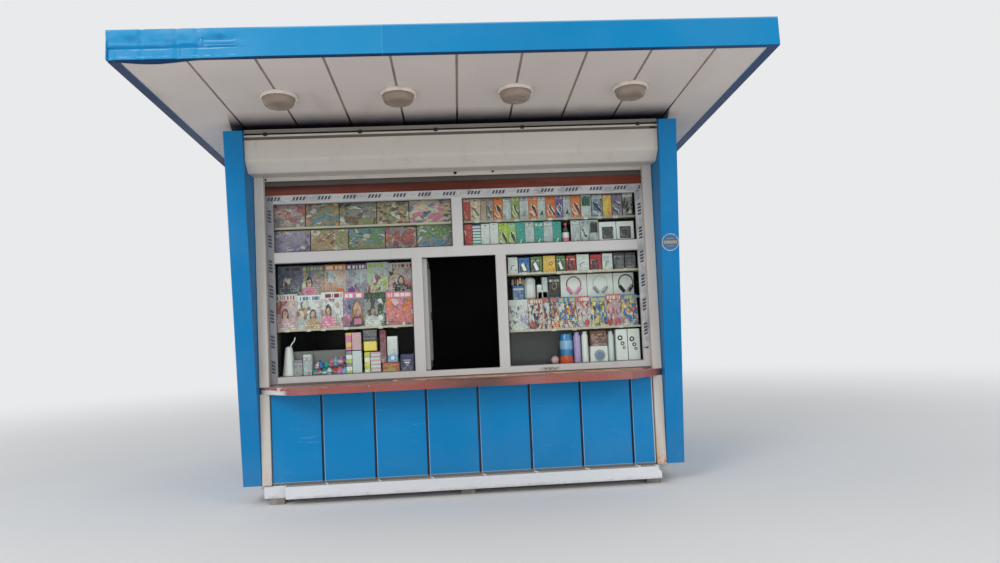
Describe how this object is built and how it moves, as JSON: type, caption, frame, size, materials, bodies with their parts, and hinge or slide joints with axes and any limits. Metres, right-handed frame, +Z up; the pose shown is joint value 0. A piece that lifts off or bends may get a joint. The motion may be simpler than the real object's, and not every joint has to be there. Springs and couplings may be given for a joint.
{
  "type": "street kiosk",
  "caption": "Street kiosk with a sloping canopy, leaning side fins, a glazed display window with a service opening, a sales counter and a raised roller shutter.",
  "frame": {"origin": "on the ground, under the middle of the canopy, which is the bottom centre of the bounding box", "axes": "+X to the right along the sales front seen from the street, +Y from the street to the rear, +Z up"},
  "size_m": [4.14, 4.0042, 3.2073],
  "materials": {
    "blue_paint": "satin",
    "soffit_paint": "satin",
    "shutter_paint": "satin",
    "window_plastic": "satin",
    "counter_paint": "satin",
    "lintel_paint": "satin",
    "bare_wood": "matte",
    "base_steel": "matte",
    "rail_steel": "matte",
    "frame_steel": "matte",
    "roof_sheet": "matte",
    "door_paint": "satin",
    "door_hardware": "satin",
    "floor_board": "matte",
    "rack_board": "satin",
    "window_glass": "clear",
    "lamp_plastic": "gloss",
    "lamp_glass": "satin",
    "foot_stone": "rough"
  },
  "bodies": {
    "root": {"apron_panels": "blue_paint", "apron_wall": "frame_steel", "awning_rail": "rail_steel", "base_beam_front": "base_steel", "base_beam_rear": "base_steel", "base_beams_side": "base_steel", "beads_lower": "window_plastic", "beads_upper": "window_plastic", "corner_posts": "shutter_paint", "counter": "counter_paint", "door_fittings": "door_hardware", "door_frame": "door_paint", "door_leaf": "door_paint", "fascia_front": "blue_paint", "fascia_left": "blue_paint", "fascia_rear": "blue_paint", "fascia_right": "blue_paint", "feet": "foot_stone", "floor": "floor_board", "glass_lower": "window_glass", "glass_upper": "window_glass", "header_wall": "frame_steel", "lamp_bases": "lamp_plastic", "lamp_glasses": "lamp_glass", "left_wall": "blue_paint", "lintel_board": "lintel_paint", "rack_shelves": "rack_board", "rack_sides": "rack_board", "rail_clips": "rail_steel", "rear_wall_left": "blue_paint", "rear_wall_over_door": "blue_paint", "rear_wall_right": "blue_paint", "right_wall": "blue_paint", "roof_beams": "frame_steel", "roof_deck": "roof_sheet", "service_glass": "window_glass", "service_sash": "window_plastic", "shutter_box": "shutter_paint", "shutter_end_slat": "shutter_paint", "shutter_guides": "shutter_paint", "sill_cover": "base_steel", "soffit_panels": "soffit_paint", "wear_strip": "bare_wood", "window_jambs": "window_plastic", "window_mullions": "window_plastic", "window_rails": "window_plastic", "window_transom": "window_plastic"}
  },
  "joints": []
}
